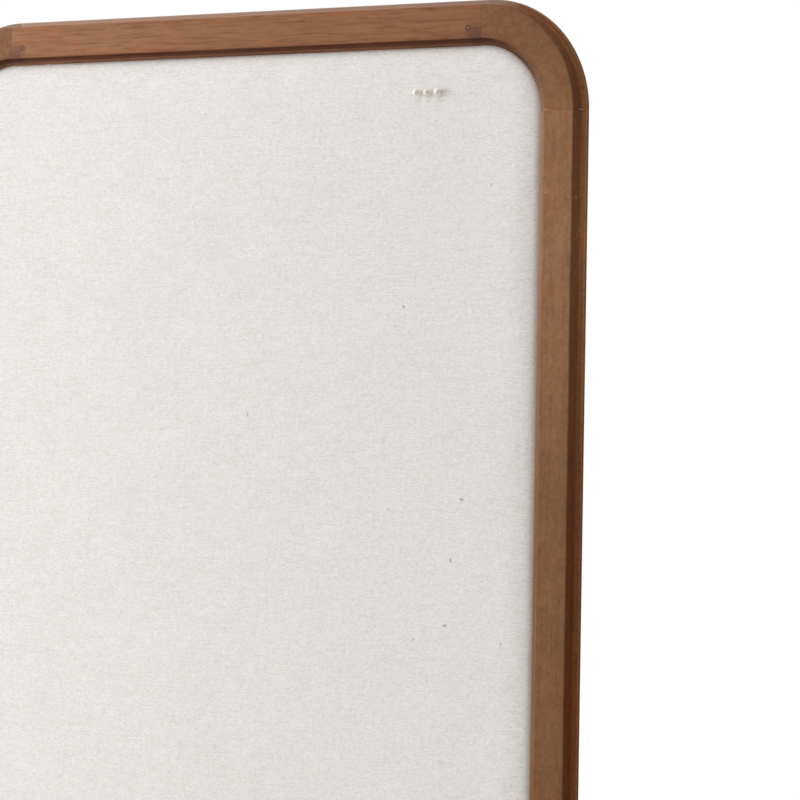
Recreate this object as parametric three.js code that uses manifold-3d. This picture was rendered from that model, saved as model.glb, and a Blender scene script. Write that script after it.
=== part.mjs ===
// A wall-hung bulletin board: a linen-covered soft board in a stained wood frame with rounded corners.
// Straight moulded rails meet quarter-ring corner blocks on loose tenons. The covered board lies in the
// frame's rebate, turn buttons hold it from behind, two D-rings hang it, and three pearl pins stick in it.
// Millimetres. +X is to the viewer's right, +Z is up and +Y points to the wall.
// The origin is the centre of the top rail's back face.
import * as THREE from "three";
import { mergeVertices } from "three/addons/utils/BufferGeometryUtils.js";
import Module from "manifold-3d";

// Driving dimensions of the board
const board_width = 610; // over the rims
const board_height = 914;
const frame_depth = 16;
const face_corner_radius = 80; // outer edge of the flat face, round the corner

// Moulding section, from the rim inwards
const rim_step = 4.6; // the rear rim stands out this far beyond the face
const rim_depth = 12.4; // from the face back to the rim's front
const rim_ease = 0.8;
const groove_radius = 2.4; // cove between the face's side and the rim
const face_width = 25.4;
const face_ease = 0.8;
const lip_reach = 4.9; // the lip stands in this far beyond the face
const lip_depth = 3.8; // from the face back to the lip's front
const lip_thickness = 1.7;
const lip_cove_radius = 2.2;
const lip_ease = 0.4;
const rebate_width = 7.5; // how far the lip covers the board

// Clearances between pieces that touch
const seat_gap = 0.2; // between pieces that lie on each other
const fit_gap = 0.3; // round a screw, tenon or brad in its hole
const running_gap = 0.15; // round what turns or slides
const overrun = 1; // how far a cutter stands out of what it cuts

// Facets
const corner_facets = 14; // of a quarter turn of the frame
const ease_facets = 2; // of a small rounded edge
const cove_facets = 4;
const round_facets = 12; // of a screw, a button end or a bumper
const needle_facets = 8;
const pearl_facets = 16;
const wire_facets = 8;
const half_turn = Math.PI;
const quarter_turn = Math.PI / 2;

// The covered board
const edge_clearance = 0.8; // between the cover and the rebate's wall
const linen_thickness = 0.5;
const hem_width = 26;
const crown_height = 3; // how far the board's front swells beyond its edge under the lip
const crown_run = 32; // from the lip's edge in to where the front is flat
const crown_roundness = 2.6;
const crown_ring_shares = [0.16, 0.34, 0.54, 0.76, 1]; // of the run

// Joints of the frame
const tenon_length = 30;
const tenon_width = 13;
const tenon_thickness = 5;
const tenon_inset = 18; // from the rim to the tenon's middle
const glue_line = 0.2; // between a rail's end and a block
const brad_from_joint = 11.5;
const brad_from_face_edge = 16.9;
const brad_head_radius = 1.1;
const brad_head_height = 0.8;
const brad_radius = 0.7;
const brad_length = 11;
const brad_tip_length = 1.5;
const filler_radius = 1.6;
const filler_depth = 1.8;

// Turn buttons
const button_length = 30;
const button_thickness = 0.9;
const button_foot_radius = 5;
const button_nose_radius = 3.6;
const button_overlap = 9; // how far its nose reaches over the board
const button_bead_radius = 1.7; // a bead pressed up in the nose
const button_bead_height = 0.6;
const end_rail_button_offset = 100; // from a top or bottom rail's end to a button
const side_rail_button_offset = 200;
const button_screw_radius = 1.5;
const button_screw_head_radius = 3;
const button_screw_head_height = 1.5;
const button_screw_length = 9;
const screw_tip_length = 2.5;
const recess_width = 0.7; // of a screw's cross recess
const recess_depth = 0.8;
const recess_span_share = 1.1; // of the head's radius

// Hangers
const strap_width = 12;
const strap_length = 34;
const strap_thickness = 1.5;
const strap_end_radius = 5.2;
const curl_wall = 0.75;
const curl_run = 5; // from the ring's axis down to where the curl's slope meets the plate
const curl_slope_angle = (-40 * Math.PI) / 180;
const ring_wire_radius = 1.25;
const ring_inner_width = 15;
const ring_inner_height = 10.5;
const ring_corner_radius = 2.4;
const ring_butt_gap = 0.4;
const ring_steps = 36;
const hanger_drop = 190; // from the top of the board down to the ring's axis
const hanger_screw_radius = 1.75;
const hanger_screw_head_radius = 3.4;
const hanger_screw_head_height = 1.7;
const hanger_screw_length = 10;
const hanger_screw_spacing = 14;
const hanger_screw_drop = 11; // from the ring's axis to the upper screw

// Wall bumpers
const bumper_radius = 6;
const bumper_thickness = 3;
const bumper_ease = 0.7;

// Pearl pins
const pearl_radius = 2.6;
const needle_radius = 0.45;
const needle_length = 9.3; // from the pearl to the point
const needle_tip_length = 2;
const needle_in_pearl = 3;
const needle_gap = 0.1;
const pearl_standoff = 0.5; // between the linen and the pearl
const pin_spacing = 9.3;
const middle_pin_from_right = 126.6; // from the face's outer edge
const middle_pin_from_top = 63.8;

// Worked out from the above
const rim_radius = face_corner_radius + rim_step;
const face_inner = rim_step + face_width;
const lip_edge = face_inner + lip_reach;
const lip_back = lip_depth + lip_thickness;
const rebate_wall = lip_edge - rebate_width;
const band_middle = rebate_wall / 2; // middle of a rail's flat back
const cover_inset = rebate_wall + edge_clearance;
const cover_front = lip_back + seat_gap;
const cover_back = frame_depth - seat_gap;
const board_inset = cover_inset + linen_thickness + seat_gap;
const board_front = cover_front + linen_thickness + seat_gap;
const board_back = cover_back - linen_thickness - seat_gap;
const half_width = board_width / 2;
const half_height = board_height / 2;
const hanger_x = half_width - band_middle;
const hanger_z = half_height - hanger_drop;
const crown_front = cover_front - crown_height;
const pearl_back = crown_front - pearl_standoff;
const needle_end = pearl_back + needle_length;
const filler_hole_radius = filler_radius + running_gap;
const brad_inset = rim_step + brad_from_face_edge;
const brad_front = filler_depth + seat_gap;

const stained_wood = new THREE.MeshStandardMaterial({ color: 0x87634a, roughness: 0.55 });
const bare_wood = new THREE.MeshStandardMaterial({ color: 0xc8a878, roughness: 0.8 });
const wood_filler = new THREE.MeshStandardMaterial({ color: 0x8c6a58, roughness: 0.7 });
const linen = new THREE.MeshStandardMaterial({ color: 0xe2dedb, roughness: 0.95 });
const fibreboard = new THREE.MeshStandardMaterial({ color: 0xb39a72, roughness: 0.95 });
const steel = new THREE.MeshStandardMaterial({ color: 0xb9bbbd, roughness: 0.35, metalness: 1 });
const brass = new THREE.MeshStandardMaterial({ color: 0xb89a5a, roughness: 0.35, metalness: 1 });
const pearl = new THREE.MeshStandardMaterial({ color: 0xf2ece2, roughness: 0.2 });
const rubber = new THREE.MeshStandardMaterial({ color: 0x2c2a28, roughness: 0.85 });

const wasm = await Module();
wasm.setup();

// A closed geometry as a solid that can be cut or joined
function solid(geometry) {
  const bare = geometry.clone();
  for (const name of Object.keys(bare.attributes)) {
    if (name !== "position") bare.deleteAttribute(name);
  }
  const merged = mergeVertices(bare, 1e-4);
  return new wasm.Manifold(
    new wasm.Mesh({
      numProp: 3,
      vertProperties: new Float32Array(merged.attributes.position.array),
      triVerts: new Uint32Array(merged.index.array),
    }),
  );
}

// A solid back as a geometry with flat faces
function geometryOf(made) {
  const mesh = made.getMesh();
  const shared = new THREE.BufferGeometry();
  shared.setAttribute("position", new THREE.BufferAttribute(mesh.vertProperties, 3));
  shared.setIndex(new THREE.BufferAttribute(mesh.triVerts, 1));
  const flat = shared.toNonIndexed();
  flat.computeVertexNormals();
  return flat;
}

function cut(geometry, cutters) {
  return geometryOf(cutters.reduce((left, cutter) => left.subtract(solid(cutter)), solid(geometry)));
}

// The points of an arc, both ends included
function arc(x, y, radius, from, to, facets) {
  return Array.from({ length: facets + 1 }, (_, i) => {
    const angle = from + ((to - from) * i) / facets;
    return new THREE.Vector2(x + radius * Math.cos(angle), y + radius * Math.sin(angle));
  });
}

// A flat outline made into a plate, from one depth behind the board's face to another.
// The outline's y points down on the board.
function plate(shape, from, to) {
  const geometry = new THREE.ExtrudeGeometry(shape, { depth: to - from, bevelEnabled: false });
  return geometry.rotateX(-quarter_turn).translate(0, from, 0);
}

// A round bar or hole that runs from one depth to another
function roundBar(radius, from, to, facets, x = 0, z = 0) {
  const geometry = new THREE.CylinderGeometry(radius, radius, to - from, facets);
  return geometry.translate(x, (from + to) / 2, z);
}

// A profile of radius and depth turned about its axis, which runs along the depth
function turned(profile, facets) {
  const points = profile.map(([radius, depth]) => new THREE.Vector2(radius, depth));
  return new THREE.LatheGeometry(points, facets);
}

const root = new THREE.Group();
// Pieces are placed from the board's centre and its front face, and this group brings them to the origin.
const board = new THREE.Group();
board.position.set(0, -frame_depth, band_middle - half_height);
root.add(board);

// The four sides in turn from the top one, clockwise as the viewer sees them. Each has a group in which
// x runs along the rail, y goes back from the face and z = 0 is the rim's outer edge.
const sides = [
  { name: "top", ends: ["left", "right"], reach: half_height, across: half_width },
  { name: "right", ends: ["upper", "lower"], reach: half_width, across: half_height },
  { name: "bottom", ends: ["right", "left"], reach: half_height, across: half_width },
  { name: "left", ends: ["lower", "upper"], reach: half_width, across: half_height },
];
const corner_names = ["top_right", "bottom_right", "bottom_left", "top_left"];
sides.forEach((side, turn) => {
  side.turned = new THREE.Group();
  side.turned.rotation.y = turn * quarter_turn;
  side.group = new THREE.Group();
  side.group.position.z = side.reach;
  side.turned.add(side.group);
  board.add(side.turned);
  side.rail_half = side.across - rim_radius;
  side.holds_brads = turn % 2 === 0;
  const offset = side.holds_brads ? end_rail_button_offset : side_rail_button_offset;
  side.button_places = [offset - side.rail_half, side.rail_half - offset];
});

function piece(name, geometry, material, parent = board) {
  const mesh = new THREE.Mesh(geometry, material);
  mesh.name = name;
  parent.add(mesh);
  return mesh;
}

// The moulding's section: x is the way in from the rim, y is the way back from the face
const lip_cove_x = face_inner + lip_cove_radius;
const section = [
  new THREE.Vector2(rim_ease, frame_depth),
  ...arc(rim_ease, frame_depth - rim_ease, rim_ease, quarter_turn, half_turn, ease_facets).slice(1),
  ...arc(rim_ease, rim_depth + rim_ease, rim_ease, half_turn, half_turn + quarter_turn, ease_facets),
  ...arc(rim_step - groove_radius, rim_depth - groove_radius, groove_radius, quarter_turn, 0, cove_facets),
  ...arc(rim_step + face_ease, face_ease, face_ease, half_turn, half_turn + quarter_turn, ease_facets),
  ...arc(face_inner - face_ease, face_ease, face_ease, -quarter_turn, 0, ease_facets),
  ...arc(lip_cove_x, lip_depth - lip_cove_radius, lip_cove_radius, half_turn, quarter_turn, cove_facets),
  ...arc(lip_edge - lip_ease, lip_depth + lip_ease, lip_ease, -quarter_turn, 0, ease_facets),
  new THREE.Vector2(lip_edge, lip_back),
  new THREE.Vector2(rebate_wall, lip_back),
  new THREE.Vector2(rebate_wall, frame_depth),
];

// A section (x inwards from the rim, y back from the face) run along a side, its middle at x = 0
const rail_basis = new THREE.Matrix4().makeBasis(
  new THREE.Vector3(0, 0, -1),
  new THREE.Vector3(0, 1, 0),
  new THREE.Vector3(1, 0, 0),
);
function runAlongRail(shape, length) {
  const bar = new THREE.ExtrudeGeometry(shape, { depth: length, bevelEnabled: false });
  return bar.translate(0, 0, -length / 2).applyMatrix4(rail_basis);
}

// A flat bar with rounded edges that runs along x, its middle at the given depth behind the face
function tenonBar(length, gap) {
  const radius = tenon_thickness / 2 + gap;
  const straight = tenon_width / 2 - tenon_thickness / 2;
  const outline = new THREE.Shape([
    ...arc(straight, 0, radius, -quarter_turn, quarter_turn, cove_facets),
    ...arc(-straight, 0, radius, quarter_turn, half_turn + quarter_turn, cove_facets),
  ]);
  return runAlongRail(outline, length).translate(0, frame_depth / 2, 0);
}

// How far along a side's group a point of the board lies
function alongSide(turn, x, z) {
  return [x, -z, -x, z][turn];
}

const button_reach = button_length - button_foot_radius;
const button_inset = cover_inset + button_overlap - button_reach;
const hanger_screw_drops = [hanger_screw_drop, hanger_screw_drop + hanger_screw_spacing];

sides.forEach((side, turn) => {
  const blank = runAlongRail(new THREE.Shape(section), 2 * (side.rail_half - glue_line));
  const mortise = tenonBar(tenon_length + 2 * fit_gap, fit_gap);
  const cutters = [-1, 1].map((end) => mortise.clone().translate(end * side.rail_half, 0, -tenon_inset));
  for (const x of side.button_places) {
    const from = frame_depth - button_screw_length - fit_gap;
    const radius = button_screw_radius + fit_gap;
    cutters.push(roundBar(radius, from, frame_depth + overrun, round_facets, x, -button_inset));
  }
  if (side.holds_brads) {
    for (const end of [-1, 1]) {
      const x = end * (side.rail_half - brad_from_joint);
      const shank_end = brad_front + brad_length + fit_gap;
      const head_end = brad_front + brad_head_height + seat_gap;
      cutters.push(roundBar(filler_hole_radius, -overrun, head_end, round_facets, x, -brad_inset));
      cutters.push(roundBar(brad_radius + fit_gap, 0, shank_end, needle_facets, x, -brad_inset));
    }
  } else {
    const x = turn === 1 ? hanger_x : -hanger_x;
    for (const drop of hanger_screw_drops) {
      const from = frame_depth - hanger_screw_length - fit_gap;
      const along = alongSide(turn, x, hanger_z - drop);
      const radius = hanger_screw_radius + fit_gap;
      cutters.push(roundBar(radius, from, frame_depth + overrun, round_facets, along, -band_middle));
    }
  }
  piece(side.name + "_rail", cut(blank, cutters), stained_wood, side.group);
});

// Corner blocks: the same section turned about the corner's centre, a quarter of the ring
function cornerBlank() {
  const ring_profile = section.map((p) => new THREE.Vector2(rim_radius - p.x, p.y));
  ring_profile.push(ring_profile[0].clone());
  const ring = new THREE.LatheGeometry(ring_profile.reverse(), 4 * corner_facets);
  const size = rim_radius + overrun;
  const height = frame_depth + 2 * overrun;
  const quarter = new THREE.BoxGeometry(size, height, size).translate(size / 2, frame_depth / 2, size / 2);
  return geometryOf(solid(ring).intersect(solid(quarter)));
}

corner_names.forEach((name, turn) => {
  const turned_group = new THREE.Group();
  turned_group.rotation.y = turn * quarter_turn;
  board.add(turned_group);
  const upright = turn % 2 === 0;
  const mortise = tenonBar(tenon_length + 2 * fit_gap, fit_gap);
  const cutters = [
    mortise.clone().translate(0, 0, rim_radius - tenon_inset),
    mortise.clone().rotateY(quarter_turn).translate(rim_radius - tenon_inset, 0, 0),
  ];
  const block = piece("corner_" + name, cut(cornerBlank(), cutters), stained_wood, turned_group);
  block.position.x = (upright ? half_width : half_height) - rim_radius;
  block.position.z = (upright ? half_height : half_width) - rim_radius;
});

// Loose tenons, half in the rail and half in the block
sides.forEach((side) => {
  side.ends.forEach((end_name, i) => {
    const end = i === 0 ? -1 : 1;
    const cutters = [];
    if (side.holds_brads) {
      const x = -end * brad_from_joint;
      const z = tenon_inset - brad_inset;
      cutters.push(roundBar(brad_radius + fit_gap, 0, frame_depth, needle_facets, x, z));
    }
    const name = "tenon_" + side.name + "_rail_" + end_name;
    const tenon = piece(name, cut(tenonBar(tenon_length, 0), cutters), bare_wood, side.group);
    tenon.position.x = end * side.rail_half;
    tenon.position.z = -tenon_inset;
  });
});

// Brads through the rails' faces, each under a spot of filler
const brad_profile = [
  [0, brad_front],
  [brad_head_radius, brad_front],
  [brad_head_radius, brad_front + brad_head_height],
  [brad_radius, brad_front + brad_head_height],
  [brad_radius, brad_front + brad_length - brad_tip_length],
  [0, brad_front + brad_length],
];
sides.forEach((side) => {
  if (!side.holds_brads) return;
  side.ends.forEach((end_name, i) => {
    const end = i === 0 ? -1 : 1;
    const name = side.name + "_" + end_name;
    const brad = piece("brad_" + name, turned(brad_profile, needle_facets), steel, side.group);
    const spot = roundBar(filler_radius, 0, filler_depth, round_facets);
    const filler = piece("brad_filler_" + name, spot, wood_filler, side.group);
    for (const mesh of [brad, filler]) {
      mesh.position.x = end * (side.rail_half - brad_from_joint);
      mesh.position.z = -brad_inset;
    }
  });
});

// A rounded rectangle that follows the frame at a given distance in from the rim
function boardOutline(inset) {
  const radius = Math.max(rim_radius - inset, overrun);
  const x = half_width - inset - radius;
  const y = half_height - inset - radius;
  return new THREE.Shape([
    ...arc(x, y, radius, 0, quarter_turn, corner_facets),
    ...arc(-x, y, radius, quarter_turn, half_turn, corner_facets),
    ...arc(-x, -y, radius, half_turn, half_turn + quarter_turn, corner_facets),
    ...arc(x, -y, radius, half_turn + quarter_turn, 2 * half_turn, corner_facets),
  ]);
}

// A plate from one depth to another whose front swells into a crown inside the lip's edge:
// rings of the board's outline, each joined to the next, closed by a flat back and a flat middle
function crownedPlate(inset, from, to) {
  const crown_rings = crown_ring_shares.map((share) => [
    lip_edge + crown_run * share,
    from - crown_height * (1 - (1 - share) ** crown_roundness),
  ]);
  const rings = [[inset, to], [inset, from], [lip_edge, from], ...crown_rings].map(([ring_inset, depth]) =>
    boardOutline(ring_inset)
      .getPoints()
      .map((p) => new THREE.Vector3(p.x, depth, -p.y)),
  );
  const count = rings[0].length;
  const corners = [];
  for (let k = 1; k < rings.length; k++) {
    for (let i = 0; i < count; i++) {
      const next = (i + 1) % count;
      corners.push(rings[k - 1][i], rings[k][next], rings[k - 1][next]);
      corners.push(rings[k - 1][i], rings[k][i], rings[k][next]);
    }
  }
  const front = rings[rings.length - 1];
  for (let i = 1; i < count - 1; i++) {
    corners.push(front[0], front[i + 1], front[i]);
    corners.push(rings[0][0], rings[0][i], rings[0][i + 1]);
  }
  return new THREE.BufferGeometry().setFromPoints(corners);
}

// The soft board and its linen cover, with a hole for each needle
const middle_pin_x = half_width - rim_step - middle_pin_from_right;
const pin_z = half_height - rim_step - middle_pin_from_top;
const pins = ["left", "middle", "right"].map((name, i) => ({
  name,
  x: middle_pin_x + (i - 1) * pin_spacing,
}));
const needle_holes = pins.map((pin) =>
  roundBar(needle_radius + needle_gap, 0, needle_end + fit_gap, needle_facets, pin.x, pin_z),
);
piece("pin_board", cut(crownedPlate(board_inset, board_front, board_back), needle_holes), fibreboard);

const cover_cavity = crownedPlate(
  cover_inset + linen_thickness,
  cover_front + linen_thickness,
  cover_back - linen_thickness,
);
const cover_opening = plate(boardOutline(cover_inset + hem_width), board_back, cover_back + overrun);
const cover_blank = crownedPlate(cover_inset, cover_front, cover_back);
piece("linen_cover", cut(cover_blank, [cover_cavity, cover_opening, ...needle_holes]), linen);

// A pan-head wood screw with a cross recess, driven in from behind. Depth 0 is under its head.
function screw(radius, length, head_radius, head_height) {
  const shoulder = head_height / 3;
  const dome = arc(0, 0, 1, 0, quarter_turn, cove_facets)
    .slice(0, -1)
    .map((p) => [head_radius * p.x, shoulder + (head_height - shoulder) * p.y]);
  const profile = [[0, -length], [radius, screw_tip_length - length], [radius, 0], [head_radius, 0]];
  const blank = turned([...profile, ...dome, [0, head_height]], round_facets);
  const span = head_radius * recess_span_share;
  const recess = [0, quarter_turn].map((angle) =>
    new THREE.BoxGeometry(span, 2 * recess_depth, recess_width).translate(0, head_height, 0).rotateY(angle),
  );
  return cut(blank, recess);
}

// Turn buttons: a tapered tab that turns on its screw, its nose over the board's edge
function turnButton() {
  const nose_x = button_reach - button_nose_radius;
  const tangent = Math.acos((button_foot_radius - button_nose_radius) / nose_x);
  const outline = new THREE.Shape([
    ...arc(0, 0, button_foot_radius, tangent, 2 * half_turn - tangent, round_facets),
    ...arc(nose_x, 0, button_nose_radius, -tangent, tangent, round_facets / 2),
  ]);
  const from = frame_depth + seat_gap;
  const to = from + button_thickness;
  const bead = new THREE.SphereGeometry(button_bead_radius, round_facets, round_facets / 2)
    .scale(1, button_bead_height / button_bead_radius, 1)
    .translate(nose_x, to, 0);
  const hole = roundBar(button_screw_radius + running_gap, 0, to + overrun, round_facets);
  const tab = solid(plate(outline, from, to)).subtract(solid(hole));
  const cap = roundBar(button_bead_radius, from + seat_gap, to + overrun, round_facets, nose_x);
  const bead_cap = solid(bead).intersect(solid(cap));
  return geometryOf(tab.add(bead_cap)).rotateY(quarter_turn);
}

const button_back = frame_depth + seat_gap + button_thickness;
sides.forEach((side) => {
  side.button_places.forEach((x, i) => {
    const name = side.name + "_" + side.ends[i];
    const button = piece("turn_button_" + name, turnButton(), brass, side.group);
    button.position.set(x, 0, -button_inset);
    const shape = screw(
      button_screw_radius,
      button_screw_length,
      button_screw_head_radius,
      button_screw_head_height,
    );
    const fixing = piece("turn_screw_" + name, shape, steel, side.group);
    fixing.position.set(x, button_back + running_gap, -button_inset);
  });
});

// Hanger straps: a plate folded round the ring's bar, screwed to a side rail's back.
// In the section x is the height off the rail and y is up, from the ring's axis.
const curl_bore = ring_wire_radius + running_gap;
const curl_radius = curl_bore + curl_wall;
const strap_foot = curl_radius - strap_length;
const hanger_back = frame_depth + seat_gap;

function hangerStrap() {
  const profile = new THREE.Shape([
    new THREE.Vector2(0, strap_foot),
    ...arc(curl_radius, 0, curl_radius, half_turn, curl_slope_angle, round_facets),
    new THREE.Vector2(strap_thickness, -curl_run),
    new THREE.Vector2(strap_thickness, strap_foot),
  ]);
  const bore = arc(curl_radius, 0, curl_bore, 0, 2 * half_turn, round_facets).slice(1);
  profile.holes.push(new THREE.Path(bore));
  const blank = new THREE.ExtrudeGeometry(profile, { depth: strap_width, bevelEnabled: false })
    .translate(0, 0, -strap_width / 2)
    .applyMatrix4(
      new THREE.Matrix4().makeBasis(
        new THREE.Vector3(0, 1, 0),
        new THREE.Vector3(0, 0, 1),
        new THREE.Vector3(1, 0, 0),
      ),
    );
  const side_x = strap_width / 2 - strap_end_radius;
  const foot_y = -strap_foot - strap_end_radius;
  const top_y = -curl_radius - overrun;
  const outline = new THREE.Shape([
    new THREE.Vector2(strap_width / 2, top_y),
    ...arc(side_x, foot_y, strap_end_radius, 0, quarter_turn, cove_facets),
    ...arc(-side_x, foot_y, strap_end_radius, quarter_turn, half_turn, cove_facets),
    new THREE.Vector2(-strap_width / 2, top_y),
  ]);
  const trimmed = solid(blank).intersect(solid(plate(outline, -overrun, 2 * curl_radius + overrun)));
  const holes = hanger_screw_drops.map((drop) =>
    roundBar(hanger_screw_radius + fit_gap, -overrun, strap_thickness + overrun, round_facets, 0, -drop),
  );
  return geometryOf(holes.reduce((left, hole) => left.subtract(solid(hole)), trimmed));
}

// D-rings: round wire bent to a D, its ends butted inside the strap's fold
class RingLine extends THREE.Curve {
  constructor() {
    super();
    const half_span = ring_inner_width / 2 + ring_wire_radius;
    const height = ring_inner_height + 2 * ring_wire_radius;
    const corner_x = half_span - ring_corner_radius;
    this.line = new THREE.Path();
    this.line.moveTo(ring_butt_gap / 2, 0);
    this.line.lineTo(corner_x, 0);
    this.line.absarc(corner_x, ring_corner_radius, ring_corner_radius, -quarter_turn, 0, false);
    this.line.lineTo(half_span, height - half_span);
    this.line.absarc(0, height - half_span, half_span, 0, half_turn, false);
    this.line.lineTo(-half_span, ring_corner_radius);
    this.line.absarc(-corner_x, ring_corner_radius, ring_corner_radius, half_turn, 3 * quarter_turn, false);
    this.line.lineTo(-ring_butt_gap / 2, 0);
  }
  getPoint(t, target = new THREE.Vector3()) {
    const p = this.line.getPoint(t);
    return target.set(p.x, 0, p.y);
  }
}

const wire_section = new THREE.Shape(
  arc(0, 0, ring_wire_radius, 0, 2 * half_turn, wire_facets).slice(1),
);
// At rest each ring leans on the rail's back
const ring_rise = ring_inner_height + 2 * ring_wire_radius;
const ring_lean = Math.asin((curl_radius - ring_wire_radius) / ring_rise);

[["left", -1], ["right", 1]].forEach(([name, hand]) => {
  const strap = piece("hanger_strap_" + name, hangerStrap(), steel);
  strap.position.set(hand * hanger_x, hanger_back, hanger_z);
  const wire = new THREE.ExtrudeGeometry(wire_section, { steps: ring_steps, extrudePath: new RingLine() });
  const ring = piece("hanger_ring_" + name, wire, steel);
  ring.position.set(hand * hanger_x, hanger_back + curl_radius, hanger_z);
  ring.rotation.x = ring_lean;
  hanger_screw_drops.forEach((drop, i) => {
    const shape = screw(
      hanger_screw_radius,
      hanger_screw_length,
      hanger_screw_head_radius,
      hanger_screw_head_height,
    );
    const level = i === 0 ? "upper" : "lower";
    const fixing = piece("hanger_screw_" + name + "_" + level, shape, steel);
    fixing.position.set(hand * hanger_x, hanger_back + strap_thickness + seat_gap, hanger_z - drop);
  });
});

// Bumpers on the bottom corners' backs
const bumper_run = (rim_radius - band_middle) * Math.SQRT1_2;
[["left", -1], ["right", 1]].forEach(([name, hand]) => {
  const edge_x = bumper_radius - bumper_ease;
  const edge = arc(edge_x, bumper_thickness - bumper_ease, bumper_ease, 0, quarter_turn, ease_facets);
  const profile = [[0, 0], [bumper_radius, 0], ...edge.map((p) => [p.x, p.y]), [0, bumper_thickness]];
  const bumper = piece("bumper_" + name, turned(profile, 2 * round_facets), rubber);
  bumper.position.set(
    hand * (half_width - rim_radius + bumper_run),
    frame_depth + seat_gap,
    -(half_height - rim_radius + bumper_run),
  );
});

// Pearl pins: a bead on a needle
pins.forEach((pin) => {
  const needle_front = pearl_back - needle_in_pearl;
  const bead = new THREE.SphereGeometry(pearl_radius, pearl_facets, pearl_facets / 2)
    .rotateX(quarter_turn)
    .translate(0, pearl_back - pearl_radius, 0);
  const socket_end = pearl_back + overrun;
  const socket = roundBar(needle_radius + needle_gap, needle_front - seat_gap, socket_end, needle_facets);
  const needle_profile = [
    [0, needle_front],
    [needle_radius, needle_front],
    [needle_radius, needle_end - needle_tip_length],
    [0, needle_end],
  ];
  const bead_piece = piece("pin_pearl_" + pin.name, cut(bead, [socket]), pearl);
  const needle = piece("pin_needle_" + pin.name, turned(needle_profile, needle_facets), steel);
  bead_piece.position.set(pin.x, 0, pin_z);
  needle.position.set(pin.x, 0, pin_z);
});

export default root;
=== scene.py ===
# A wall-hung bulletin board: linen over a soft board in a stained wood frame, with three pearl pins.
# Metres. +X is to the viewer's right, +Z is up and +Y points to the wall; the frame's back is at y = 0.
import math

import bmesh
import bpy
from mathutils import Matrix, Vector, noise


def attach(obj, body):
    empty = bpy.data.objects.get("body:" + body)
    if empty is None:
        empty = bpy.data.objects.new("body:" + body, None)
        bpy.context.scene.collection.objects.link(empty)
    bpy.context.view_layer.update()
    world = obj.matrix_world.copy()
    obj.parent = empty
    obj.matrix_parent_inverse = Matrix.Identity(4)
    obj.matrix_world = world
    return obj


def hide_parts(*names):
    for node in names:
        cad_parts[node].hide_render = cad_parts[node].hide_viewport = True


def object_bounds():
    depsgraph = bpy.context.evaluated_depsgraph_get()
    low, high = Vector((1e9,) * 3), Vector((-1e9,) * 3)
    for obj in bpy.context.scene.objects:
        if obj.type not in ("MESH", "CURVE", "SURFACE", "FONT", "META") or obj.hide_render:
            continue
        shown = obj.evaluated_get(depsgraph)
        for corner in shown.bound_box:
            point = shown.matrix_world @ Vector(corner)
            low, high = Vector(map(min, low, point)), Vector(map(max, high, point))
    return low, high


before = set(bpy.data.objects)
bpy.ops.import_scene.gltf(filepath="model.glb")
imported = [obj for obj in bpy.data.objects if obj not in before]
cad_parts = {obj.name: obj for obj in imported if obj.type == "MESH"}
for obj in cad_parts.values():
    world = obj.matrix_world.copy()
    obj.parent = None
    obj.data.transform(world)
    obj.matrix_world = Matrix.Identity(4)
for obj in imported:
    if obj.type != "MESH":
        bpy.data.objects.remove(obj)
cad_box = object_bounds()

# Camera: a long lens from the right of the board, a little below its top, as in the photograph.
# Its axes were fitted to the frame's edges, and its centre is the picture's centre.
camera_data = bpy.data.cameras.new("camera")
camera_data.sensor_width = 36
camera_data.lens = 182.69
camera_data.clip_start = 0.1
camera_data.clip_end = 60
camera = bpy.data.objects.new("camera", camera_data)
bpy.context.scene.collection.objects.link(camera)
camera_right = (0.842141, 0.539015, 0.016136)
camera_up = (-0.010063, -0.014210, 0.999848)
camera_back = (0.539163, -0.842176, -0.006543)
camera_place = (1.7954, -2.5795, -0.3051)
camera.matrix_world = Matrix(
    [[camera_right[i], camera_up[i], camera_back[i], camera_place[i]] for i in range(3)] + [[0, 0, 0, 1]]
)
bpy.context.scene.camera = camera

# Studio: a white world, a very large soft lamp low on the left, another overhead, and a pale floor.
# The world shows as white to the camera and in reflections, and lights the board less strongly.
scene = bpy.context.scene
scene.view_settings.view_transform = "Standard"
floor_level = cad_box[0].z
world_light = 0.24
side_power = 104.5
overhead_power = 61


class Nodes:
    """A node tree built node by node. A socket takes a value or another node's output."""

    def __init__(self, tree):
        self.tree = tree

    def join(self, socket, value):
        if isinstance(value, bpy.types.NodeSocket):
            self.tree.links.new(value, socket)
        elif socket.type == "RGBA" and len(value) == 3:
            socket.default_value = (*value, 1)
        else:
            socket.default_value = value

    def add(self, kind, settings=(), inputs=()):
        node = self.tree.nodes.new("ShaderNode" + kind)
        for key, value in dict(settings).items():
            setattr(node, key, value)
        for key, value in dict(inputs).items():
            self.join(node.inputs[key], value)
        return node

    def math(self, operation, *values):
        return self.add("Math", {"operation": operation}, enumerate(values)).outputs[0]


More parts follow.
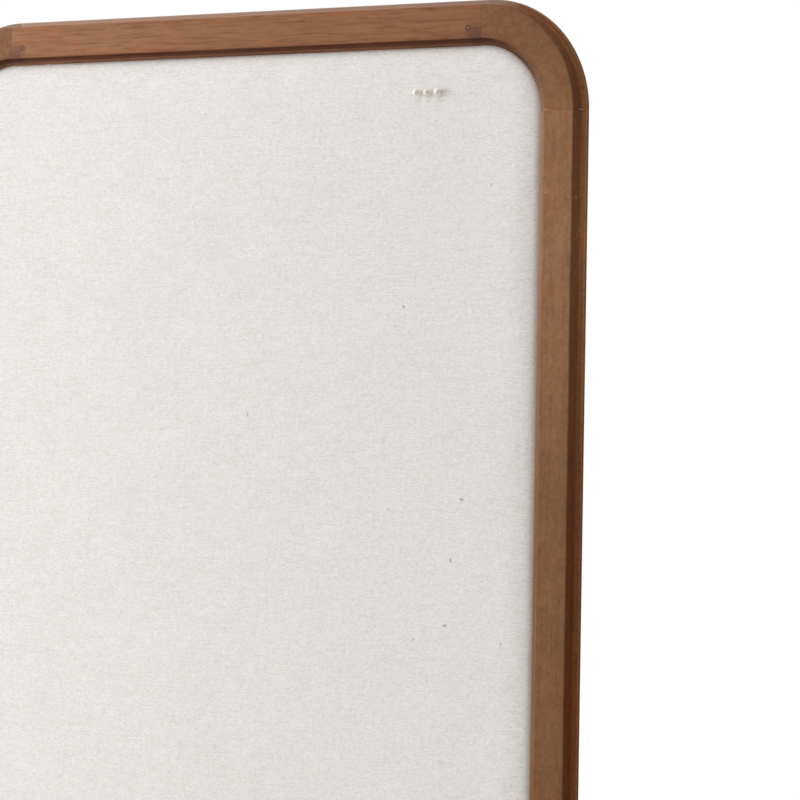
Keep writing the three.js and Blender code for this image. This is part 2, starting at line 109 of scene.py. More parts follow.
class Paint(Nodes):
    """A material made on the usual surface shader."""

    def __init__(self, name, roughness=0.5, metallic=0.0, specular=0.5):
        self.material = bpy.data.materials.new(name)
        self.material.use_nodes = True
        super().__init__(self.material.node_tree)
        self.coat = self.tree.nodes["Principled BSDF"]
        self.give("Roughness", roughness)
        self.give("Metallic", metallic)
        self.give("Specular IOR Level", specular)
        self.where = self.add("TexCoord").outputs["Object"]

    def give(self, socket, value):
        self.join(self.coat.inputs[socket], value)

    def noise(self, cells, detail=2.0, seed=0.0, source=None):
        """Soft noise with this many cells to the metre along x, y and z, or along all three."""
        cells = cells if isinstance(cells, tuple) else (cells, cells, cells)
        shift = (seed, seed * 0.7, -seed)
        mapped = self.add("Mapping", (), {"Vector": source or self.where, "Scale": cells, "Location": shift})
        inputs = {"Vector": mapped.outputs[0], "Scale": 1.0, "Detail": detail, "Roughness": 0.6}
        return self.add("TexNoise", (), inputs).outputs["Fac"]

    def ramp(self, source, *stops):
        """Colours, or greys given as one number, at their places along the source."""
        made = self.add("ValToRGB", (), {"Fac": source})
        elements = made.color_ramp.elements
        while len(elements) < len(stops):
            elements.new(0.5)
        for element, (at, colour) in zip(elements, stops):
            element.position = at
            element.color = (*colour, 1) if isinstance(colour, tuple) else (colour, colour, colour, 1)
        return made.outputs["Color"]

    def mix(self, kind, first, second, share=1.0):
        made = self.add("Mix", {"data_type": "RGBA", "blend_type": kind})
        for index, value in ((0, share), (6, first), (7, second)):
            self.join(made.inputs[index], value)
        return made.outputs[2]

    def tint(self, colour, by, share=1.0):
        return self.mix("MULTIPLY", colour, by, share)

    def spread(self, source, low, high, low_value, high_value, kind="LINEAR"):
        """The source's span from low to high, spread over these two values."""
        names = ("Value", "From Min", "From Max", "To Min", "To Max")
        inputs = zip(names, (source, low, high, low_value, high_value))
        return self.add("MapRange", {"interpolation_type": kind}, inputs).outputs[0]

    def along(self, axis):
        return self.add("SeparateXYZ", (), {0: self.where}).outputs[axis]

    def mark(self, name):
        """A number that the mesh carries on each of its points."""
        return self.add("Attribute", {"attribute_name": name}).outputs["Fac"]

    def distance_to(self, place, stretch=(1, 1, 1)):
        """How far each point is from a place, in metres, measured with a stretched rule."""
        mapped = self.add(
            "Mapping", {"vector_type": "POINT"},
            {"Vector": self.where, "Scale": stretch, "Location": [-p * s for p, s in zip(place, stretch)]},
        )
        return self.add("VectorMath", {"operation": "LENGTH"}, {0: mapped.outputs[0]}).outputs["Value"]

    def spot(self, colour, place, stretch, by, core):
        """Tints a spot: fully up to its core, and not at all from where the stretched rule reads 1."""
        away = self.distance_to(place, stretch)
        return self.tint(colour, self.ramp(away, (core, by), (1.0, 1.0)))

    def bump(self, height, distance, strength=1.0):
        made = self.add("Bump", (), {"Height": height, "Distance": distance, "Strength": strength})
        self.give("Normal", made.outputs[0])

    def put_on(self, part):
        part.data.materials.clear()
        part.data.materials.append(self.material)


world = bpy.data.worlds.new("white studio")
scene.world = world
world.use_nodes = True
world.node_tree.nodes.clear()
sky = Nodes(world.node_tree)
rays = sky.add("LightPath").outputs
seen = rays["Is Camera Ray"]
for kind in ("Is Glossy Ray", "Is Transmission Ray"):
    seen = sky.math("MAXIMUM", seen, rays[kind])
strength = sky.add("MapRange", (), {"Value": seen, "To Min": world_light, "To Max": 1}).outputs["Result"]
white = sky.add("Background", (), {"Color": (1, 1, 1), "Strength": strength}).outputs[0]
sky.add("OutputWorld", (), {"Surface": white})


def lamp(name, place, aim, size, power):
    data = bpy.data.lights.new(name, "AREA")
    data.shape = "SQUARE"
    data.size = size
    data.energy = power
    made = bpy.data.objects.new(name, data)
    scene.collection.objects.link(made)
    made.location = place
    made.rotation_euler = (Vector(aim) - Vector(place)).to_track_quat("-Z", "Y").to_euler()


lamps_aim = (0.1, 0, -0.30)
lamp("side lamp", (-2.88, -1.05, 0.30), lamps_aim, 2.4, side_power)
lamp("overhead lamp", (0.1, -1.65, 3.20), lamps_aim, 2.5, overhead_power)

floor_size = 16
floor_white_run = (0.8, 2.6)
bpy.ops.object.select_all(action="DESELECT")
bpy.ops.mesh.primitive_plane_add(size=floor_size, location=(0, 0, floor_level))
floor = bpy.context.object
floor.name = "floor"
pale = Paint("pale floor", roughness=0.9)
pale.give("Base Color", (0.82, 0.82, 0.81))
far = pale.spread(pale.distance_to((0, 0, 0)), *floor_white_run, 0, 1, "SMOOTHSTEP")
far_and_seen = pale.math("MULTIPLY", far, pale.add("LightPath").outputs["Is Camera Ray"])
glow = pale.add("Emission").outputs[0]
blend = pale.add("MixShader", (), {0: far_and_seen, 1: pale.coat.outputs[0], 2: glow})
pale.join(pale.tree.nodes["Material Output"].inputs["Surface"], blend.outputs[0])
pale.put_on(floor)

# Rails: four lengths of moulded hardwood, stained brown under a thin satin coat.
# Each has a flat face, a coved lip that laps over the linen and a coved rim behind, and is
# mortised at both ends for a loose tenon. They are cut from one run of moulding.
half_width = 0.305
half_height = 0.457
board_middle = -0.4433
frame_depth = 0.016
rim_step = 0.0046
rim_depth = 0.0124
rim_ease = 0.0008
groove_radius = 0.0024
face_inner = 0.030
face_ease = 0.0008
shoulder_radius = 0.0009
shade_lines = (0.0115, 0.0255, 0.0328, 0.0341)
lip_edge = 0.0349
lip_depth = 0.0038
lip_back = 0.0055
lip_cove_radius = 0.0022
lip_ease = 0.0004
rebate_wall = 0.0274
rim_radius = 0.0846
glue_line = 0.00015
tenon_inset = 0.018
mortise_size = (0.0306, 0.0056, 0.0136)
brad_from_joint = 0.0115
brad_inset = 0.0215
filler_radius = 0.0016
filler_clearance = 0.00012
stain_from_brad = (0.0065, 0.005)
stain_reach = 0.02
filler_hole_end = 0.002
brad_hole_radius = 0.0012
brad_hole_end = 0.0143
screw_hole_radius = 0.0018
screw_hole_end = 0.0067
overshoot = 0.001
quarter = math.radians(90)
side_names = ("top", "right", "bottom", "left")
rail_halves = (half_width - rim_radius, half_height - rim_radius) * 2
rail_reaches = (half_height, half_width) * 2
button_offsets = (0.100, 0.200) * 2
button_inset = 0.0122


def stained_wood(name, grain_turn, shift, tone=(1, 1, 1), fade=None, brads=(), painted_glints=(), plain=0.0):
    """Brown stain over a fine straight grain that runs along the piece, deeper in the coves, where painted
    shade also darkens it, with painted highlights and painted light on the rims and the right side's lip.
    fade is an axis, and
    then places on it with a tone at each: how the colour grows lighter or darker along the piece. brads are
    the filled spots, and nicks are small painted highlights, light spots where the wood is dented. plain,
    from 0 to 1, is how far a soft mottle hides the grain."""
    paint = Paint(name, specular=0.09)
    turned = paint.add("Mapping", (), {"Vector": paint.where, "Rotation": (0, grain_turn, 0)}).outputs[0]

    def streaks(along, across, detail, seed):
        return paint.noise((along, across, across), detail, shift + seed, turned)

    colour = paint.ramp(
        streaks(5, 130, 4, 1.3),
        (0.30, (0.244, 0.110, 0.054)),
        (0.47, (0.280, 0.127, 0.060)),
        (0.56, (0.297, 0.135, 0.063)),
        (0.74, (0.335, 0.155, 0.075)),
    )
    mottle = paint.ramp(
        paint.noise(55, 4, shift), (0.34, (0.259, 0.115, 0.054)), (0.66, (0.306, 0.142, 0.067))
    )
    colour = paint.mix("MIX", colour, mottle, 0.25 + 0.6 * plain)
    fibre = streaks(34, 560, 3, 9.7)
    pores = streaks(70, 1900, 1, 17.3)
    specks = paint.noise(300, 4, shift + 4)
    hues = paint.noise(62, 4, shift + 21)
    for source, share, *stops in (
        (streaks(3, 14, 2, 5.1), 1 - 0.6 * plain, (0.35, (0.93, 0.90, 0.90)), (0.65, (1.06, 1.05, 1.01))),
        (fibre, 0.72 - 0.55 * plain, (0.34, (0.68, 0.63, 0.60)), (0.50, 1.0), (0.68, 1.12)),
        (pores, 0.5 - 0.35 * plain, (0.30, (0.55, 0.48, 0.42)), (0.37, 1.0)),
        (specks, 0.25 + 0.75 * plain, (0.34, (0.83, 0.81, 0.79)), (0.66, 1.13)),
        (hues, 0.8 - 0.35 * plain, (0.36, (1.06, 0.96, 0.93)), (0.64, (0.945, 1.03, 1.06))),
    ):
        colour = paint.tint(colour, paint.ramp(source, *stops), share)
    # Stain that gathers in the coves, with painted shade: darkest in the lip's cove and on the groove's wall
    # by the face, and a painted dark line along the right side's outer edge.
    colour = paint.tint(colour, (0.27, 0.17, 0.12), paint.mark("stain_and_painted_shade"))
    # Deeper stain with painted shade on the groove's wall and the rims' fronts away from the top, darker and
    # more orange lower down.
    height = paint.spread(paint.along("Z"), -0.55, -0.16, 0, 1)
    wall_tone = paint.mix("MIX", (0.97, 0.44, 0.08), (0.98, 0.77, 0.58), height)
    colour = paint.tint(colour, wall_tone, paint.mark("wall_stain_and_painted_shade"))
    # Painted highlight: a paler tone where light catches the top's rim and the right side's lip, greyer
    # towards the top.
    height = paint.spread(paint.along("Z"), -0.3, -0.06, 0, 1)
    bare = paint.mix("MIX", (0.42, 0.215, 0.10), (0.43, 0.28, 0.20), height)
    colour = paint.mix("MIX", colour, bare, paint.mark("painted_highlight"))
    # Painted light: the rims' fronts away from the top are lifted lighter.
    colour = paint.tint(colour, (1.39, 1.48, 1.46), paint.mark("rim_painted_light"))
    # Painted glints: small light spots where the wood is dented.
    for place, stretch, tint in painted_glints:
        colour = paint.spot(colour, place, stretch, tint, 0.35)
    for x, z in brads:
        stain_x = x + math.copysign(stain_from_brad[0], x)
        stain_z = z - math.copysign(stain_from_brad[1], z - board_middle)
        for place, reach, *stops in (
            ((x, -frame_depth, z), 4 * filler_radius, (0.24, 0.40), (0.28, 0.40), (0.36, 0.90), (0.7, 1.0)),
            ((stain_x, -frame_depth, stain_z), stain_reach, (0.17, (0.60, 0.62, 0.85)), (0.52, 1.0)),
        ):
            away = paint.spread(paint.distance_to(place), 0, reach, 0, 1)
            colour = paint.tint(colour, paint.ramp(away, *stops))
    colour = paint.tint(colour, tone)
    if fade:
        axis, *stops = fade
        first, last = stops[0][0], stops[-1][0]
        share = paint.spread(paint.along(axis), first, last, 0, 1)
        tones = [((place - first) / (last - first), value) for place, value in stops]
        colour = paint.tint(colour, paint.ramp(share, *tones))
    paint.give("Base Color", colour)
    paint.give("Roughness", paint.spread(fibre, 0.3, 0.7, 0.60, 0.46))
    paint.bump(streaks(40, 1300, 2, 13.9), 0.00012, 0.35)
    return paint


def choose(part, kind, test):
    """Selects only the vertices, edges or faces of the part in edit mode that pass the test."""
    bpy.ops.mesh.select_mode(type=kind)
    bpy.ops.mesh.select_all(action="DESELECT")
    mesh = bmesh.from_edit_mesh(part.data)
    for item in {"VERT": mesh.verts, "EDGE": mesh.edges, "FACE": mesh.faces}[kind]:
        if test(item):
            item.select_set(True)
    mesh.select_flush(kind == "VERT")
    bmesh.update_edit_mesh(part.data)


def begin(name, add, **how):
    """Adds a primitive at its size and place with nothing else selected, and opens it for editing."""
    bpy.ops.object.select_all(action="DESELECT")
    add(**how)
    part = bpy.context.object
    part.name = name
    part.data.name = name
    bpy.ops.object.transform_apply(location=True, rotation=True, scale=True)
    bpy.ops.object.mode_set(mode="EDIT")
    return part


def close():
    bpy.ops.object.mode_set(mode="OBJECT")


def take_all():
    bpy.ops.mesh.select_all(action="SELECT")


def resize(value, centre):
    bpy.ops.transform.resize(value=value, center_override=centre)


def slide(x=0, y=0, z=0):
    """Draws the selection out by this much."""
    bpy.ops.mesh.extrude_region_move(TRANSFORM_OT_translate={"value": (x, y, z)})


def bend(steps, angle, centre, axis):
    """Draws the selection out round this centre."""
    bpy.ops.mesh.spin(steps=steps, angle=angle, center=centre, axis=axis)


def bevel(radius, steps, affect="EDGES"):
    bpy.ops.mesh.bevel(offset=radius, offset_pct=0, segments=steps, profile=0.5, affect=affect)


def box(name, scale, location=(0, 0, 0)):
    return begin(name, bpy.ops.mesh.primitive_cube_add, size=1, scale=scale, location=location)


def disc(name, sides, radius, location, rotation):
    """A round face, selected, to be drawn out into a turned piece or a wire."""
    part = begin(
        name, bpy.ops.mesh.primitive_circle_add, vertices=sides, radius=radius, fill_type="NGON",
        location=location, rotation=rotation,
    )
    take_all()
    return part


def only(part):
    """Selects this part alone and makes it the active one."""
    bpy.ops.object.select_all(action="DESELECT")
    part.select_set(True)
    bpy.context.view_layer.objects.active = part


def reopen(part):
    only(part)
    bpy.ops.object.mode_set(mode="EDIT")


def apply(part, kind, **settings):
    """Adds a modifier with these settings and applies it."""
    only(part)
    modifier = part.modifiers.new(kind.lower(), kind)
    for key, value in settings.items():
        setattr(modifier, key, value)
    bpy.ops.object.modifier_apply(modifier=modifier.name)


def cut_out(part, cutters, operation="DIFFERENCE"):
    for cutter in cutters:
        apply(part, "BOOLEAN", object=cutter, operation=operation, solver="EXACT")
        bpy.data.objects.remove(cutter)


def smooth(part, angle=32):
    """Closes the mesh, turns its faces outwards, and shades curves smooth and flats flat."""
    reopen(part)
    take_all()
    bpy.ops.mesh.remove_doubles(threshold=1e-7)
    bpy.ops.mesh.normals_make_consistent(inside=False)
    close()
    bpy.ops.object.shade_smooth_by_angle(angle=math.radians(angle))
    apply(part, "WEIGHTED_NORMAL", keep_sharp=True)


def turn_by(angle, axis="Y"):
    return Matrix.Rotation(angle, 4, axis)


def settle(part, matrix):
    """Moves and turns a part, and puts that into its mesh."""
    only(part)
    part.matrix_world = matrix
    bpy.ops.object.transform_apply(location=True, rotation=True, scale=True)


def place(part, turn=0, move=(0, 0, 0)):
    """Moves a part that lies as on the top side, measured from the board's middle, to its own side."""
    to_side = Matrix.Translation((0, 0, board_middle)) @ turn_by(turn * quarter)
    settle(part, to_side @ Matrix.Translation(move))


def copy_of(part, name):
    """A copy with its own mesh."""
    made = part.copy()
    made.data = part.data.copy()
    scene.collection.objects.link(made)
    made.name = name
    made.data.name = name
    return made


def finished(part, paint, body, slot, *nodes):
    """Gives a finished piece its material, the body that it moves with and the node that it stands for."""
    paint.put_on(part)
    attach(part, body)
    if nodes:
        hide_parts(*nodes)


def turned_piece(name, stations, x=0, z=0, sides=32):
    """A round piece along the depth: stations are its depths, from the front, with the radius at each."""
    (depth, radius), *rest = stations
    part = disc(name, sides, radius, (x, depth - frame_depth, z), (-quarter, 0, 0))
    for next_depth, next_radius in rest:
        slide(y=next_depth - depth)
        share = next_radius / radius
        resize((share, 1, share), (x, next_depth - frame_depth, z))
        depth, radius = next_depth, next_radius
    close()
    return part


def peg(radius, depth_from, depth_to, x, z, sides=24):
    return turned_piece("peg", ((depth_from, radius), (depth_to, radius)), x, z, sides)


def mortise(x, z, turn=0):
    """A round-ended slot for a loose tenon, its middle at x, z."""
    length, thick, wide = mortise_size
    part = box("mortise", (length, thick, wide))
    choose(part, "EDGE", lambda edge: abs(edge.verts[0].co.x - edge.verts[1].co.x) > length / 2)
    bevel(thick * 0.49, 5)
    close()
    part.matrix_world = Matrix.Translation((x, -frame_depth / 2, z)) @ turn_by(turn * quarter)
    return part


def moulding_section(name, x, reach):
    """The section as one flat face at x, the rim's outer edge at z = reach: cut from its box by bisects,
    then every edge eased and every cove rounded. Last come the lines at which the stain's depth changes."""
    centre = (x, -frame_depth / 2, reach - lip_edge / 2)
    part = begin(name, bpy.ops.mesh.primitive_plane_add, size=1, location=centre, rotation=(0, quarter, 0))
    take_all()
    resize((1, frame_depth, lip_edge), centre)

    def score(inward):
        take_all()
        bpy.ops.mesh.bisect(plane_co=(x, 0, reach - inward), plane_no=(0, 0, 1))

    for inward in (rim_step, rebate_wall, face_inner):
        score(inward)
    for back in (lip_depth, lip_back, rim_depth):
        take_all()
        bpy.ops.mesh.bisect(plane_co=(x, back - frame_depth, 0), plane_no=(0, 1, 0))

    def outside(cell):
        middle = cell.calc_center_median()
        inward, back = reach - middle.z, middle.y + frame_depth
        return (
            (inward < rim_step and back < rim_depth)
            or (inward > face_inner and back < lip_depth)
            or (inward > rebate_wall and back > lip_back)
        )

    choose(part, "FACE", outside)
    bpy.ops.mesh.delete(type="FACE")
    take_all()
    bpy.ops.mesh.dissolve_faces()
    take_all()
    bpy.ops.mesh.dissolve_limited(angle_limit=0.01)
    for inward, back, radius, steps in (
        (0, frame_depth, rim_ease, 5),
        (0, rim_depth, rim_ease, 6),
        (rim_step, rim_depth, groove_radius, 10),
        (rim_step, 0, shoulder_radius, 8),
        (face_inner, 0, face_ease, 6),
        (face_inner, lip_depth, lip_cove_radius, 9),
        (lip_edge, lip_depth, lip_ease, 4),
        (rebate_wall, frame_depth, lip_ease, 3),
    ):
        at = Vector((x, back - frame_depth, reach - inward))
        choose(part, "VERT", lambda point: (point.co - at).length < 1e-6)
        bevel(radius, steps, "VERTICES")
    for inward in shade_lines:
        score(inward)
    take_all()
    return part


def ring_middle(co):
    """The middle of the corner's curve, or the foot on a side's line: a point's inset is measured from it."""
    x = max(-rail_halves[0], min(rail_halves[0], co.x))
    z = max(-rail_halves[1], min(rail_halves[1], co.z - board_middle))
    return Vector((x, co.y, z + board_middle))


def inset_of(co):
    """How far in from the rims' outer edge a point lies."""
    away = (co - ring_middle(co)).length
    if away > 0:
        return rim_radius - away
    side = min(rail_halves[0] - abs(co.x), rail_halves[1] - abs(co.z - board_middle))
    return rim_radius + side


def held(value):
    return max(0, min(1, value))


def ramped(value, start, end):
    """0 up to the start and 1 from the end on, which may lie below it, and an even slope between them."""
    return held((value - start) / (end - start))


def mark_stain_and_painted_light(part):
    """Marks on each point, from its place in the moulding: how much stain and painted shade darken it, most
    in the lip's cove away from the right side and along the right side's outer edge; how far it is the
    groove's wall or a rim's front, which take deeper stain and painted shade; how much painted highlight it
    takes, on the top's rim and the right side's lip; and how much painted light lifts the rims' fronts away
    from the top. The back stays plain."""
    names = ("stain_and_painted_shade", "wall_stain_and_painted_shade", "painted_highlight", "rim_painted_light")
    for name in names:
        part.data.attributes.new(name, "FLOAT", "POINT")
    stain_shade, walled, painted_highlight, rim_painted_light = (part.data.attributes[name].data for name in names)
    hair = 0.0001
    for point in part.data.vertices:
        inward, back = inset_of(point.co), point.co.y + frame_depth
        if back > frame_depth - 0.001:
            continue
        outward = (point.co - ring_middle(point.co)).normalized()
        right, top = max(0, outward.x), max(0, outward.z)
        corner = 4 * right**2 * top**2

        # Stain and painted shade in the lip's cove and on the top's face beside the lip, and painted shade on
        # the face's inner edge in the corners; the right side's lip is left unshaded.
        in_front = back < lip_back
        into_lip = inward - face_inner
        straight = 0.42 + 0.48 * ramped(into_lip, 0.0031, 0.0022) + 0.40 * ramped(into_lip, 0.0041, 0.0047)
        curved = 0.35 + 0.6 * ramped(into_lip, 0.0027, 0.0041)
        cove = (straight * (1 - corner) + curved * corner) * ramped(into_lip, -face_ease, 0) * in_front
        cove += 0.2 * corner * (-face_ease + hair / 2 < into_lip < hair)
        cove += 0.2 * top**2 * ramped(inward, shade_lines[1], face_inner - face_ease) * (into_lip < -hair)
        cove *= 1 - 0.95 * right**4 * (1 - corner)

        # The groove's wall: stain and painted shade, most by the face; painted shade also on the right side's
        # face near the rim and along its outer edge.
        wall = ramped(back, 0.0003, 0.0011) * ramped(inward, rim_step - groove_radius, rim_step)
        wall *= inward < rim_step + shoulder_radius
        edge = 0.6 * wall * held(1.03 - back / rim_depth)
        face_shade = ramped(inward, shade_lines[0], shade_lines[0] - 0.0045)
        edge += 0.12 * right * face_shade * (inward > rim_step + hair)
        outer = 0.6 * right * (inward < hair / 2)
        stain_shade[point.index].value = max(cove, edge, outer)

        # Painted highlight on the top's rim and the right side's lip, and painted light on the rims' fronts
        # away from the top, which also take the wall's stain and painted shade.
        on_top = ramped(top, 0.955, 0.995)
        on_lip = held(into_lip / (lip_edge - face_inner)) * in_front
        rim = ramped(inward, rim_step, 0.0002)
        rim_face = 0.58 * (1 - on_top) * held(inward / rim_ease) * (inward < rim_step - hair)
        walled[point.index].value = max(wall * (1 - 0.3 * back / rim_depth), rim_face)
        painted_highlight[point.index].value = max(0.6 * right**4 * on_lip, held(2.2 * rim) * on_top)
        rim_painted_light[point.index].value = rim * (1 - on_top)


brad_x = rail_halves[0] - brad_from_joint
brad_z = half_height - brad_inset
rail_woods = (
    stained_wood(
        "top rail wood", 0, 0.0,
        fade=("X", (-0.1, (1.20, 1.205, 1.25)), (0.12, (1.08, 1.085, 1.14)), (0.22, (0.955, 0.95, 0.99))),
        brads=[(x, board_middle + brad_z) for x in (-brad_x, brad_x)],
    ),
    stained_wood(
        "right rail wood", quarter, 3.7, tone=(0.95, 1, 1), plain=0.65,
        fade=(
            "Z", (-0.071, (1.17, 1.21, 1.26)), (-0.107, (1.19, 1.25, 1.31)), (-0.16, (1.23, 1.32, 1.42)),
            (-0.345, (0.88, 0.92, 0.94)), (-0.525, (0.87, 0.885, 0.845)), (-0.652, (0.84, 0.81, 0.69)),
        ),
        painted_glints=(
            ((0.2785, -0.016, -0.1317), (500, 0, 700), (1.35, 1.45, 1.6)),
            ((0.3004, -0.010, -0.1351), (500, 300, 900), (1.7, 1.8, 1.9)),
        ),
    ),
    stained_wood("bottom rail wood", 0, 7.9, brads=[(x, board_middle - brad_z) for x in (-brad_x, brad_x)]),
    stained_wood("left rail wood", quarter, 11.3),
)
for turn, side in enumerate(side_names):
    reach, rail_half = rail_reaches[turn], rail_halves[turn]
    rail = moulding_section("rail_" + side, -rail_half + glue_line, reach)
    slide(x=2 * (rail_half - glue_line))
    close()
    cutters = [mortise(end * rail_half, reach - tenon_inset) for end in (-1, 1)]
    for end in (-1, 1):
        x, z = end * (rail_half - button_offsets[turn]), reach - button_inset
        cutters.append(peg(screw_hole_radius, screw_hole_end, frame_depth + overshoot, x, z))
    if side in ("top", "bottom"):
        for end in (-1, 1):
            x, z = end * brad_x, reach - brad_inset
            cutters.append(peg(filler_radius + filler_clearance, -overshoot, filler_hole_end, x, z, 32))
            cutters.append(peg(brad_hole_radius, filler_hole_end / 2, brad_hole_end, x, z, 12))
    cut_out(rail, cutters)
    smooth(rail)
    place(rail, turn)
    mark_stain_and_painted_light(rail)
    finished(rail, rail_woods[turn], "frame", "stained_wood", side + "_rail")

# Corner blocks: a quarter ring of the same moulding, sawn and turned from one block of the same wood.
# Glued between the rails on loose tenons; a fine joint line shows at each end.
corner_steps = 56
corner_names = ("top_right", "bottom_right", "bottom_left", "top_left")
corner_grains = (
    (22, 2.1, ("Z", (0.0, 1.03), (-0.03, 0.99), (-0.071, 1.12))),
    (70, 5.7, None),
    (18, 9.2, None),
    (66, 13.4, None),
)
for turn, name in enumerate(corner_names):
    block = moulding_section("block_" + name, 0, rim_radius)
    bend(corner_steps, -quarter, (0, 0, 0), (0, 1, 0))
    close()
    cut_out(block, [mortise(0, rim_radius - tenon_inset), mortise(rim_radius - tenon_inset, 0, 1)])
    smooth(block)
    across, up = (half_width, half_height) if turn % 2 == 0 else (half_height, half_width)
    place(block, turn, (across - rim_radius, 0, up - rim_radius))
    mark_stain_and_painted_light(block)
    grain, shift, fade = corner_grains[turn]
    wood = stained_wood(
        "corner wood " + name, math.radians(grain), shift, tone=(0.85, 0.885, 0.895), fade=fade, plain=0.8
    )
    finished(block, wood, "frame", "stained_wood", "corner_" + name)

# Joinery: loose tenons of bare hardwood, glued, and at each end of the top and bottom rails a steel brad
# through the tenon, set below the face under a plug of brown filler. Two runs of glue have dried at the
# right rail's upper joint, one in the rim's groove and one on the face.
bare_wood = Paint("bare wood", roughness=0.7, specular=0.3)
pale_grain = bare_wood.noise((60, 60, 400), 3, 2.0)
bare_wood.give(
    "Base Color", bare_wood.ramp(pale_grain, (0.35, (0.50, 0.34, 0.19)), (0.65, (0.66, 0.48, 0.29)))
)
bare_wood.bump(pale_grain, 0.0001, 0.4)


def metal(name, dark, light, roughness):
    """Plated metal with fine random scuffs and a slightly uneven polish."""
    paint = Paint(name, metallic=1.0)
    cloud = paint.noise(260, 3, 4.0)
    scuff = paint.noise((900, 900, 4000), 2, 8.0)
    paint.give("Base Color", paint.ramp(cloud, (0.35, dark), (0.65, light)))
    paint.give("Roughness", paint.spread(scuff, 0.3, 0.7, roughness * 0.8, roughness * 1.25))
    paint.bump(scuff, 0.00002, 0.5)
    return paint


brad_steel = metal("brad steel", (0.45, 0.45, 0.46), (0.60, 0.60, 0.60), 0.38)
rail_ends = (("left", "right"), ("upper", "lower"), ("right", "left"), ("lower", "upper"))
for side, ends in zip(side_names, rail_ends):
    for end in ends:
        bare_wood.put_on(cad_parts["tenon_%s_rail_%s" % (side, end)])

filler = Paint("brown filler", roughness=0.75, specular=0.3)
grit = filler.noise(2500, 2, 1.0)
grains = filler.ramp(grit, (0.35, (0.22, 0.118, 0.078)), (0.65, (0.29, 0.16, 0.11)))
# The plug is darker towards its rim.
filler.give("Base Color", filler.tint(grains, (0.48, 0.42, 0.42), filler.mark("darker_rim")))
filler.bump(grit, 0.0001, 0.6)
filler_dish = 0.00018
filler_end = 0.0018
for side, up in (("top", 1), ("bottom", -1)):
    for end, hand in (("left", -1), ("right", 1)):
        name = "%s_%s" % (side, end)
        brad_steel.put_on(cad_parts["brad_" + name])
        stations = (
            (filler_dish, 0.4 * filler_radius),
            (filler_dish * 0.7, 0.75 * filler_radius),
            (filler_dish * 0.5, 0.94 * filler_radius),
            (filler_dish, filler_radius),
            (filler_end, filler_radius),
        )
        x, z = hand * brad_x, board_middle + up * brad_z
        plug = turned_piece("filler_" + name, stations, x, z)
        smooth(plug, 60)
        darker_rim = plug.data.attributes.new("darker_rim", "FLOAT", "POINT").data
        for point in plug.data.vertices:
            off_centre = math.hypot(point.co.x - x, point.co.z - z) / filler_radius
            darker_rim[point.index].value = ramped(off_centre, 0.4, 0.7)
        finished(plug, filler, "frame", "wood_filler", "brad_filler_" + name)

dried_glue = Paint("dried glue", roughness=0.6, specular=0.2)
crust = dried_glue.noise(900, 2, 1.0)
dried_glue.give("Base Color", dried_glue.ramp(crust, (0.3, (0.46, 0.29, 0.17)), (0.7, (0.62, 0.44, 0.30))))
glue_z = board_middle + rail_halves[1] + 0.0004
groove_glue_radius = 0.00034
groove_glue_depth = 0.0074
groove_start = (half_width - rim_step, groove_glue_depth - frame_depth, glue_z)
groove_glue = disc("groove_glue", 14, groove_glue_radius, groove_start, (-quarter, 0, 0))
slide(y=rim_depth - groove_radius - groove_glue_depth)
groove_centre = (half_width - rim_step + groove_radius, rim_depth - groove_radius - frame_depth, glue_z)
bend(8, quarter, groove_centre, (0, 0, 1))
slide(x=0.0002)
close()
smooth(groove_glue, 60)
finished(groove_glue, dried_glue, "frame", "wood_filler")
face_glue_radius = 0.0002
face_glue_z = glue_z - 0.0003
face_start = (half_width - face_inner, -frame_depth, face_glue_z)
face_glue = disc("face_glue", 12, face_glue_radius, face_start, (0, quarter, 0))
for run, share in ((0.003, 0.9), (0.002, 0.75), (0.0018, 0.3)):
    slide(x=run)
    resize((1, share, share), (half_width, -frame_depth, face_glue_z))
close()
smooth(face_glue, 60)
finished(face_glue, dried_glue, "frame", "wood_filler")

# Soft board: a 9 mm sheet of pressed wood fibre, cut to the frame's rounded outline.
# Its front swells a little beyond its edges under the lip; it lies loose in the rebate.
board_inset = 0.0289
board_front = 0.0064
board_back = 0.0151
board_ease = 0.0008
crown_height = 0.003
crown_run = 0.032
crown_roundness = 3.2
roll_run = 0.0075
roll_start = 0.004
roll_dip = 0.0010


def outline_face(name, inset, corner_steps, cuts):
    """A flat face in the board's rounded outline, this far in from the rims, its sides cut this often."""
    middle = (0, -frame_depth, board_middle)
    part = begin(name, bpy.ops.mesh.primitive_plane_add, size=1, location=middle, rotation=(quarter, 0, 0))
    take_all()
    resize((2 * (half_width - inset), 1, 2 * (half_height - inset)), middle)
    bevel(rim_radius - inset, corner_steps, "VERTICES")
    for length, number in zip(rail_halves, cuts):
        choose(part, "EDGE", lambda edge: abs(edge.calc_length() - 2 * length) < 0.001)
        bpy.ops.mesh.subdivide(number_cuts=number)
    choose(part, "FACE", lambda face: True)
    return part


def crown(co, run=crown_run):
    """How far the front swells forward at a point; its edge rolls back under the lip, most at the sides."""
    inset = inset_of(co)
    dip = roll_dip * (0.25 + 0.75 * abs((co - ring_middle(co)).normalized().x))
    share = ramped(inset, lip_edge, lip_edge + run)
    rolled = ramped(inset, lip_edge + roll_run, lip_edge) * ramped(inset, lip_edge - roll_start, lip_edge)
    return crown_height * (1 - (1 - share) ** crown_roundness) - dip * rolled**2


